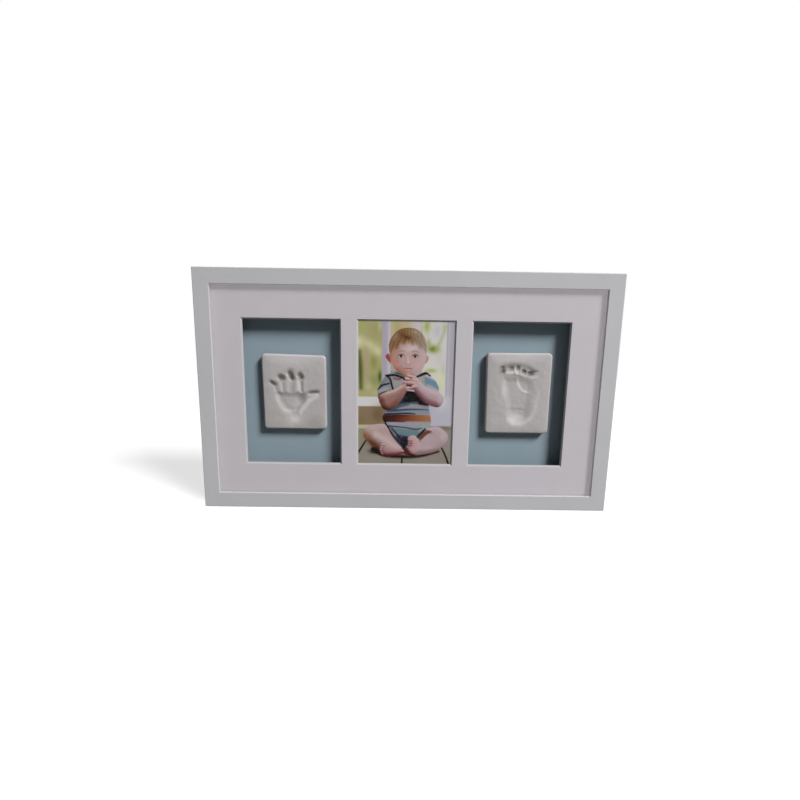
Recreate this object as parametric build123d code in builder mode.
"""A keepsake frame for the wall: a white box frame with a three-window mat, a clay tile with a
baby's handprint and one with a footprint in deep side wells, and a photo print between them.

Millimetres, +Z up. The front faces -Y. The origin is the middle of the bottom rail's underside,
halfway through the rail's depth.
"""

from build123d import *
from math import radians, tan
import os

os.makedirs("parts", exist_ok=True)

inch = 25.4

# The photo print, which the windows and the whole frame are sized round
photo_width = 4.0 * inch
photo_height = 6.0 * inch
photo_lap_side = 2.05  # how far the mat covers the print at each side
photo_lap_end = 1.45

# The mat's three windows and its borders
window_width = photo_width - 2 * photo_lap_side
window_height = photo_height - 2 * photo_lap_end
window_gap = 18.8
windows_x = -2.0  # how far the three of them sit off the frame's centre
windows_z = -0.8
mat_border_side = 31.8  # from the outer windows to the rails' sight edges, were they centred
mat_border_end = 33.2

# The rails
face_width = 0.625 * inch  # a rail's front face, from the outer edge to the sight edge
rabbet_width = 5.0  # how far the lip overlaps the glass
lip_thickness = 3.0
corner_radius = 1.2
arris_radius = 0.8
sight_radius = 0.5

# Layers behind the lip, front to back
glass_thickness = 2.0
mat_thickness = 1.5
well_depth = 12.0  # from the back of the mat to the background sheet
sheet_thickness = 0.6
panel_thickness = 3.0
panel_recess = 0.3  # the panel's back below the rails' back faces
pack_clearance = 0.5  # around every layer, inside the rabbet

# Places that follow from the sizes above
frame_width = 3 * window_width + 2 * window_gap + 2 * (mat_border_side + face_width)
frame_height = window_height + 2 * (mat_border_end + face_width)
glass_front = lip_thickness
mat_front = glass_front + glass_thickness
mat_back = mat_front + mat_thickness
blue_front = mat_back + well_depth
pink_front = blue_front + sheet_thickness
panel_front = pink_front + sheet_thickness
rail_depth = panel_front + panel_thickness + panel_recess
wall_thickness = face_width - rabbet_width
pack_width = frame_width - 2 * wall_thickness - 2 * pack_clearance
pack_height = frame_height - 2 * wall_thickness - 2 * pack_clearance
mid_height = frame_height / 2
window_pitch = window_width + window_gap
left_window_x = windows_x - window_pitch
right_window_x = windows_x + window_pitch
back_y = rail_depth / 2
cut_overrun = 1.0  # how far a cutting shape runs past the face it opens


def behind_face(depth, x=0, z=0):
    """The plane at that depth behind the front face, looking out of it. x and z are its origin's
    offsets from the frame's centre."""
    return Plane(origin=(x, depth - back_y, mid_height + z), x_dir=(1, 0, 0), z_dir=(0, -1, 0))


def behind_back(height):
    """The plane at that height above the rails' back faces, looking out of the back."""
    return Plane(origin=(0, back_y + height, mid_height), x_dir=(1, 0, 0), z_dir=(0, 1, 0))


def save(piece, name):
    """Labels a finished piece and writes it under its own name."""
    piece.part.label = name
    export_step(piece.part, f"parts/{name}.step")


# Screws: one pan-head wood screw for each turn button and each hanger
screw_neck_radius = 1.5
screw_head_radius = 2.7
screw_head_height = 1.7
screw_head_round = 0.8
screw_bite = 9.0  # how deep the screw goes into the rail
screw_point = 2.5
screw_fit = 0.05  # all round the neck, in its pilot hole
recess_length = 3.0
recess_width = 0.7
recess_depth = 1.1

# Turn buttons
button_thickness = 1.2
button_root_radius = 4.4
button_tip_radius = 3.0
button_overlap = 6.0  # from the panel's edge to the centre of the tip
button_hole_fit = 0.08
button_lift = 0.15  # clear of the rail below and of the screw's head above
button_edge_radius = 0.3
button_spacing = 210.0  # between the two on a long rail

button_inset = wall_thickness / 2
button_reach = button_inset + pack_clearance + button_overlap
button_seat = 2 * button_lift + button_thickness

# Hangers: a strap with a rolled eye, and a loose wire ring in it
strap_thickness = 0.9
strap_width = 8.0
strap_corner_radius = 2.0
ring_wire_radius = 0.9
ring_fit = 0.1  # round the wire in the eye
ring_side_gap = 0.3  # between the strap's edge and the ring
ring_head_gap = 0.7  # between the screw's head and the ring hanging round it
ring_corner_radius = 1.5
ring_edge_margin = 0.3  # between the ring and the frame's side
hanger_drop = 60.0  # from the top of the frame to the rings' axis
head_gap = 0.45  # between the eye and the screw's head
strap_tail = 4.0  # from the screw to the strap's lower end

eye_radius = ring_wire_radius + ring_fit
eye_centre_lift = strap_thickness + eye_radius
ring_half_width = strap_width / 2 + ring_side_gap + ring_wire_radius
hanger_x = frame_width / 2 - ring_half_width - ring_wire_radius - ring_edge_margin
hanger_screw_drop = eye_radius + strap_thickness + head_gap + screw_head_radius
ring_height = hanger_screw_drop + screw_head_radius + ring_head_gap + ring_wire_radius
hanger_axis_z = frame_height - hanger_drop

# Where the buttons go: x, height over the frame's centre, and the way the tip points in degrees
button_x = frame_width / 2 - button_inset
button_z = frame_height / 2 - button_inset
button_places = {
    "top_left": (-button_spacing / 2, button_z, -90),
    "top_right": (button_spacing / 2, button_z, -90),
    "bottom_left": (-button_spacing / 2, -button_z, 90),
    "bottom_right": (button_spacing / 2, -button_z, 90),
    "left": (-button_x, 0, 0),
    "right": (button_x, 0, 180),
}
button_screw_spots = [(x, -z) for x, z, turn in button_places.values()]
hanger_places = {"left": -hanger_x, "right": hanger_x}
hanger_screw_z = hanger_axis_z - hanger_screw_drop
hanger_screw_spots = [(x, mid_height - hanger_screw_z) for x in hanger_places.values()]

# Corner nails: a bent steel strip driven across each mitre from behind
nail_wing = 3.8
nail_thickness = 0.6
nail_length = 10.0
nail_fit = 0.05
nail_spread = 55.0  # degrees between a wing and the mitre line
nail_inset = 7.3  # along each side, from the corner to the bend


def screw(seat_height):
    """A pan-head screw standing on that height above the rails' back, its point in the rail."""
    with BuildPart() as made:
        with BuildSketch(Plane.XZ):
            with BuildLine():
                Polyline(
                    (0, -screw_bite),
                    (screw_neck_radius, -screw_bite + screw_point),
                    (screw_neck_radius, seat_height),
                    (screw_head_radius, seat_height),
                    (screw_head_radius, seat_height + screw_head_height),
                    (0, seat_height + screw_head_height),
                    (0, -screw_bite),
                )
            make_face()
        revolve(axis=Axis.Z)
        crown = made.edges().filter_by(GeomType.CIRCLE).sort_by(Axis.Z)[-1]
        fillet(crown, radius=screw_head_round)
        with BuildSketch(Plane.XY.offset(seat_height + screw_head_height)):
            Rectangle(recess_length, recess_width)
            Rectangle(recess_width, recess_length)
        extrude(amount=-recess_depth, mode=Mode.SUBTRACT)
    return made.part


with BuildPart() as turn_button_screws:
    with Locations(behind_back(0)):
        with Locations(*button_screw_spots):
            add(screw(button_seat))
save(turn_button_screws, "turn_button_screws")

with BuildPart() as hanger_screws:
    with Locations(behind_back(0)):
        with Locations(*hanger_screw_spots):
            add(screw(strap_thickness))
save(hanger_screws, "hanger_screws")


def nail_section(fit):
    """The four bent strips, bend inwards and wings towards the corner, with room all round."""
    width = nail_thickness + 2 * fit
    bend_x = frame_width / 2 - nail_inset
    bend_y = frame_height / 2 - nail_inset
    for side_x, side_y, outward in ((1, 1, 45), (-1, 1, 135), (-1, -1, 225), (1, -1, 315)):
        with Locations((side_x * bend_x, side_y * bend_y)):
            Circle(width / 2)
        for wing in (-nail_spread, nail_spread):
            with Locations(Location((side_x * bend_x, side_y * bend_y, 0), (0, 0, outward + wing))):
                Rectangle(nail_wing + fit, width, align=(Align.MIN, Align.CENTER))


with BuildPart() as corner_nails:
    with BuildSketch(behind_back(0)):
        nail_section(0)
    extrude(amount=-nail_length)
save(corner_nails, "corner_nails")

# Everything that is drilled or driven into the rails from behind, as one cutter
with BuildPart() as fixing_holes:
    with BuildSketch(behind_back(cut_overrun)):
        nail_section(nail_fit)
    extrude(amount=-nail_length - cut_overrun)
    with BuildSketch(behind_back(cut_overrun)):
        with Locations(*button_screw_spots, *hanger_screw_spots):
            Circle(screw_neck_radius + screw_fit)
    extrude(amount=-screw_bite - cut_overrun)


def rail(name, middle, along, length):
    """One mitred rail. middle is the middle of its outer face, along its direction."""
    inward = along.cross(Vector(0, 1, 0))
    with BuildPart() as made:
        with BuildSketch(Plane(origin=middle, x_dir=(0, 1, 0), z_dir=along)):
            with BuildLine():
                Polyline(
                    (-back_y, 0),
                    (back_y, 0),
                    (back_y, wall_thickness),
                    (-back_y + lip_thickness, wall_thickness),
                    (-back_y + lip_thickness, face_width),
                    (-back_y, face_width),
                    close=True,
                )
            make_face()
            front = vertices().group_by(Axis.X)[0].sort_by(Axis.Y)
            fillet(front[0], radius=arris_radius)
            fillet(vertices().sort_by(Axis.Y)[-2:].sort_by(Axis.X)[0], radius=sight_radius)
        extrude(amount=length / 2, both=True)
        for end in (-1, 1):
            corner = middle + along * (end * length / 2)
            mitre = Plane(origin=corner, z_dir=along * -end - inward)
            split(bisect_by=mitre, keep=Keep.TOP)
        with BuildSketch(behind_face(0)):
            RectangleRounded(frame_width, frame_height, corner_radius)
        extrude(amount=-rail_depth, mode=Mode.INTERSECT)
        add(fixing_holes.part, mode=Mode.SUBTRACT)
    save(made, name)


rail("rail_bottom", Vector(0, 0, 0), Vector(1, 0, 0), frame_width)
rail("rail_top", Vector(0, 0, frame_height), Vector(-1, 0, 0), frame_width)
rail("rail_right", Vector(frame_width / 2, 0, mid_height), Vector(0, 0, 1), frame_height)
rail("rail_left", Vector(-frame_width / 2, 0, mid_height), Vector(0, 0, -1), frame_height)

# Glass pane
with BuildPart() as glass_pane:
    with BuildSketch(behind_face(glass_front)):
        Rectangle(pack_width, pack_height)
    extrude(amount=-glass_thickness)
save(glass_pane, "glass_pane")

# Mat board: three windows, cut on a 45 degree bevel that opens towards the glass
bevel_angle = 45.0

with BuildPart() as mat_board:
    with BuildSketch(behind_face(mat_back)):
        Rectangle(pack_width, pack_height)
    extrude(amount=mat_thickness)
    with BuildSketch(behind_face(mat_back, windows_x, windows_z)):
        with GridLocations(window_pitch, 0, 3, 1):
            Rectangle(window_width, window_height)
    extrude(amount=mat_thickness, taper=-bevel_angle, mode=Mode.SUBTRACT)
save(mat_board, "mat_board")

# Photo print, in a pocket on the back of the mat that is open at the top
photo_thickness = 0.3
photo_slack = 0.4  # at each side of the print, in its pocket
photo_play = 0.1  # between the print and the card behind it
pocket_rim = 2.6
card_thickness = 1.5

pocket_depth = photo_thickness + photo_play
pocket_width = photo_width + 2 * photo_slack
card_width = pocket_width + 2 * pocket_rim
card_height = photo_height + 2 * pocket_rim

with BuildPart() as photo_print:
    with BuildSketch(behind_face(mat_back, windows_x, windows_z)):
        Rectangle(photo_width, photo_height)
    extrude(amount=-photo_thickness)
save(photo_print, "photo_print")

with BuildPart() as photo_pocket_shim:
    with BuildSketch(behind_face(mat_back, windows_x, windows_z)):
        Rectangle(card_width, card_height)
        with Locations((0, pocket_rim - photo_slack)):
            Rectangle(pocket_width, card_height, mode=Mode.SUBTRACT)
    extrude(amount=-pocket_depth)
save(photo_pocket_shim, "photo_pocket_shim")

with BuildPart() as photo_backing_card:
    with BuildSketch(behind_face(mat_back + pocket_depth, windows_x, windows_z)):
        Rectangle(card_width, card_height)
    extrude(amount=-card_thickness)
save(photo_backing_card, "photo_backing_card")

# Spacer strips that hold the mat off the background, and the two dividers beside the photo
spacer_thickness = 8.0
divider_thickness = 5.0
strip_fit = 0.2  # where one strip ends against another

spacer_z = (pack_height - spacer_thickness) / 2
spacer_x = (pack_width - spacer_thickness) / 2
inner_height = pack_height - 2 * spacer_thickness - 2 * strip_fit
strips = {
    "spacer_top": (0, spacer_z, pack_width, spacer_thickness),
    "spacer_bottom": (0, -spacer_z, pack_width, spacer_thickness),
    "spacer_left": (-spacer_x, 0, spacer_thickness, inner_height),
    "spacer_right": (spacer_x, 0, spacer_thickness, inner_height),
    "divider_left": (windows_x - window_pitch / 2, 0, divider_thickness, inner_height),
    "divider_right": (windows_x + window_pitch / 2, 0, divider_thickness, inner_height),
}
for name, (x, z, width, height) in strips.items():
    with BuildPart() as strip:
        with BuildSketch(behind_face(mat_back)):
            with Locations((x, z)):
                Rectangle(width, height)
        extrude(amount=-well_depth)
    save(strip, name)

# Background sheets: blue in front, the spare pink one behind it
for name, depth in {"background_blue": blue_front, "background_pink": pink_front}.items():
    with BuildPart() as sheet:
        with BuildSketch(behind_face(depth)):
            Rectangle(pack_width, pack_height)
        extrude(amount=-sheet_thickness)
    save(sheet, name)

# Clay tiles, pressed and air dried, on foam tape
tile_thickness = 7.5
tile_corner_radius = 4.0
tile_edge_radius = 2.2
tape_thickness = 1.2
tape_side = 12.0
tape_margin = 5.0  # from the tile's edge to the tape
press_draft = 28.0  # degrees that a pressed wall leans

hand_tile_width = 66.9
hand_tile_height = 79.7
hand_tile_x = 0.85  # off its window's centre
hand_tile_z = 0.0
hand_span = 51.5  # tip of the little finger to tip of the thumb
finger_depth = 2.8
palm_depth = 2.0
wrist_depth = 1.1

foot_tile_width = 68.2
foot_tile_height = 86.4
foot_tile_x = 0.8
foot_tile_z = 1.6
foot_length = 64.0
toe_depth = 2.8
sole_depth = 1.9
heel_depth = 2.8

# Tip and base of each finger, and its radius, in shares of the hand's span from the tile's centre
finger_shares = [
    ((-0.450, 0.190), (-0.310, -0.020), 0.048),
    ((-0.290, 0.310), (-0.200, 0.000), 0.058),
    ((-0.076, 0.375), (-0.050, 0.000), 0.062),
    ((0.118, 0.340), (0.140, 0.000), 0.056),
    ((0.415, 0.005), (0.200, -0.160), 0.060),
]
palm_shares = [
    ((-0.225, -0.110), 0.100),
    ((0.125, -0.110), 0.100),
    ((-0.120, -0.280), 0.090),
    ((0.020, -0.290), 0.090),
]
wrist_shares = [((-0.080, -0.400), 0.120), ((0.050, -0.400), 0.120), ((-0.020, -0.500), 0.110)]

# Centre and radius of each toe and of the circles that the sole is drawn round, in shares of
# the foot's length from the tile's centre
toe_shares = [
    ((-0.243, 0.377), 0.074),
    ((-0.111, 0.402), 0.055),
    ((0.003, 0.406), 0.053),
    ((0.098, 0.365), 0.048),
    ((0.215, 0.337), 0.052),
]
ball_shares = [((-0.145, 0.110), 0.125), ((0.155, 0.100), 0.125)]
arch_shares = [((-0.075, -0.150), 0.120), ((0.130, -0.160), 0.115)]
heel_shares = [((0.005, -0.345), 0.190)]


def hollow(plane, shares, size, depth):
    """The clay that one press pushes away. Its outline is drawn tight round circles, given in
    shares of size, and draws in towards the floor of the press."""
    with BuildPart() as pressed:
        for level in (0, depth):
            with BuildSketch(plane.offset(-level)):
                for (x, z), radius in shares:
                    with Locations((x * size, z * size)):
                        Circle(radius * size - level * tan(radians(press_draft)))
                if len(shares) > 1:
                    make_hull(mode=Mode.REPLACE)
        loft()
    return pressed.part


tile_back = blue_front - tape_thickness
hand_place = (left_window_x + hand_tile_x, windows_z + hand_tile_z)
foot_place = (right_window_x + foot_tile_x, windows_z + foot_tile_z)
hand_plane = behind_face(tile_back - tile_thickness, *hand_place)
foot_plane = behind_face(tile_back - tile_thickness, *foot_place)


def tile(width, height, place):
    """A rounded slab of clay: the outline on the tape, and soft edges in front."""
    with BuildPart() as slab:
        with BuildSketch(behind_face(tile_back, *place)):
            RectangleRounded(width, height, tile_corner_radius)
        extrude(amount=tile_thickness)
        fillet(slab.faces().sort_by(Axis.Y)[0].edges(), radius=tile_edge_radius)
    return slab.part


with BuildPart() as handprint_tile:
    add(tile(hand_tile_width, hand_tile_height, hand_place))
    for tip, base, radius in finger_shares:
        finger = [(tip, radius), (base, radius)]
        add(hollow(hand_plane, finger, hand_span, finger_depth), mode=Mode.SUBTRACT)
    add(hollow(hand_plane, palm_shares, hand_span, palm_depth), mode=Mode.SUBTRACT)
    add(hollow(hand_plane, wrist_shares, hand_span, wrist_depth), mode=Mode.SUBTRACT)
save(handprint_tile, "handprint_tile")

with BuildPart() as footprint_tile:
    add(tile(foot_tile_width, foot_tile_height, foot_place))
    for toe in toe_shares:
        add(hollow(foot_plane, [toe], foot_length, toe_depth), mode=Mode.SUBTRACT)
    for half in (ball_shares + arch_shares, arch_shares + heel_shares):
        add(hollow(foot_plane, half, foot_length, sole_depth), mode=Mode.SUBTRACT)
    add(hollow(foot_plane, heel_shares, foot_length, heel_depth), mode=Mode.SUBTRACT)
save(footprint_tile, "footprint_tile")

tape_jobs = {
    "handprint_tape": (hand_place, hand_tile_width, hand_tile_height),
    "footprint_tape": (foot_place, foot_tile_width, foot_tile_height),
}
for name, (place, width, height) in tape_jobs.items():
    pitch_x = width - 2 * tape_margin - tape_side
    pitch_z = height - 2 * tape_margin - tape_side
    with BuildPart() as tape:
        with BuildSketch(behind_face(tile_back, *place)):
            with GridLocations(pitch_x, pitch_z, 2, 2):
                Rectangle(tape_side, tape_side)
        extrude(amount=-tape_thickness)
    save(tape, name)

# Back panel
with BuildPart() as back_panel:
    with BuildSketch(behind_face(panel_front)):
        Rectangle(pack_width, pack_height)
    extrude(amount=-panel_thickness)
save(back_panel, "back_panel")

# Turn buttons, closed: each tip points inwards over the panel
for name, (x, z, turn) in button_places.items():
    with BuildPart() as turn_button:
        with BuildSketch(behind_back(button_lift)):
            with Locations(Location((x, -z, 0), (0, 0, -turn))):
                with BuildSketch(mode=Mode.PRIVATE) as outline:
                    Circle(button_root_radius)
                    with Locations((button_reach, 0)):
                        Circle(button_tip_radius)
                    make_hull()
                add(outline.sketch)
                Circle(screw_neck_radius + button_hole_fit, mode=Mode.SUBTRACT)
        extrude(amount=button_thickness)
        rim = turn_button.faces().sort_by(Axis.Y)[-1].outer_wire().edges()
        fillet(rim, radius=button_edge_radius)
    save(turn_button, f"turn_button_{name}")

# Hangers: the strap and its eye in one piece, and the ring hanging down round the screw's head
for name, x in hanger_places.items():
    side = Plane(origin=(x, back_y, hanger_axis_z), x_dir=(0, 1, 0), z_dir=(1, 0, 0))
    with BuildPart() as strap:
        with BuildSketch(side):
            with Locations((eye_centre_lift, 0)):
                Circle(eye_centre_lift)
                Circle(eye_radius, mode=Mode.SUBTRACT)
                Rectangle(eye_centre_lift, eye_centre_lift, align=Align.MAX, mode=Mode.SUBTRACT)
            with Locations((0, -hanger_screw_drop - strap_tail)):
                Rectangle(strap_thickness, hanger_screw_drop + strap_tail, align=Align.MIN)
        extrude(amount=strap_width / 2, both=True)
        corners = strap.edges().filter_by(Axis.Y).group_by(Axis.Z)[0]
        fillet(corners, radius=strap_corner_radius)
        with BuildSketch(Plane(origin=(x, back_y, hanger_screw_z), z_dir=(0, 1, 0))):
            Circle(screw_neck_radius + screw_fit)
        extrude(amount=strap_thickness, mode=Mode.SUBTRACT)
    save(strap, f"hanger_strap_{name}")

    bar_middle = (x, back_y + eye_centre_lift, hanger_axis_z)
    side_drop = ring_height - ring_half_width
    with BuildPart() as ring:
        with BuildLine(Plane(origin=bar_middle, x_dir=(1, 0, 0), z_dir=(0, -1, 0))) as loop:
            FilletPolyline(
                (-ring_half_width, -side_drop),
                (-ring_half_width, 0),
                (ring_half_width, 0),
                (ring_half_width, -side_drop),
                radius=ring_corner_radius,
            )
            ThreePointArc(
                (ring_half_width, -side_drop),
                (0, -ring_height),
                (-ring_half_width, -side_drop),
            )
        with BuildSketch(Plane(origin=bar_middle, z_dir=(1, 0, 0))):
            Circle(ring_wire_radius)
        sweep(path=loop.line)
    save(ring, f"hanger_ring_{name}")

# Bumpers that hold the bottom of the frame off the wall
bumper_radius = 5.0
bumper_height = 4.0
bumper_round = 0.8
bumper_inset = 7.0

with BuildPart() as wall_bumpers:
    with BuildSketch(behind_back(0)):
        with Locations(
            (bumper_inset - frame_width / 2, frame_height / 2 - bumper_inset),
            (frame_width / 2 - bumper_inset, frame_height / 2 - bumper_inset),
        ):
            Circle(bumper_radius)
    extrude(amount=bumper_height)
    fillet(wall_bumpers.edges().group_by(Axis.Y)[-1], radius=bumper_round)
save(wall_bumpers, "wall_bumpers")
